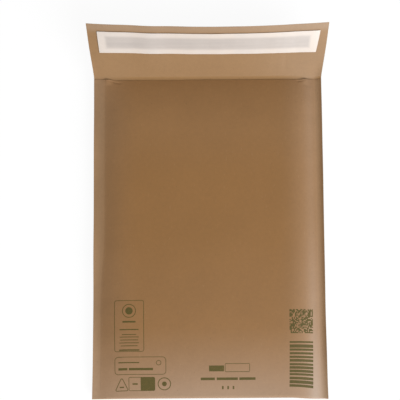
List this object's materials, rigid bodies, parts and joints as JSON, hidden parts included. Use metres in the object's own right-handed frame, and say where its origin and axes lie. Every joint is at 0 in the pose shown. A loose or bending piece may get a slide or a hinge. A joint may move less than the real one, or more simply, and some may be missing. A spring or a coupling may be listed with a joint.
{
  "type": "padded envelope",
  "caption": "Padded kraft paper envelope lying on its back: flat side seams, a puffed padded pocket open at the mouth, and a raised flap with a release strip over its adhesive.",
  "frame": {"origin": "middle of the back face of the envelope's body, where it lies on the table", "axes": "+X across the envelope, to the right when its front is seen with the flap at the top; +Y from the bottom fold towards the flap; +Z out of the front, up from the table"},
  "size_m": [0.199, 0.3115, 0.0463],
  "materials": {
    "kraft_paper": "matte",
    "liner_paper": "matte",
    "padding_paper": "matte",
    "seam_glue": "satin",
    "flap_adhesive": "gloss",
    "release_paper": "satin"
  },
  "bodies": {
    "root": {"outer_wrap": "kraft_paper", "inner_liner": "liner_paper", "fluted_padding": "padding_paper", "left_seam_glue": "seam_glue", "right_seam_glue": "seam_glue", "flap_adhesive": "flap_adhesive", "release_strip": "release_paper"}
  },
  "joints": []
}
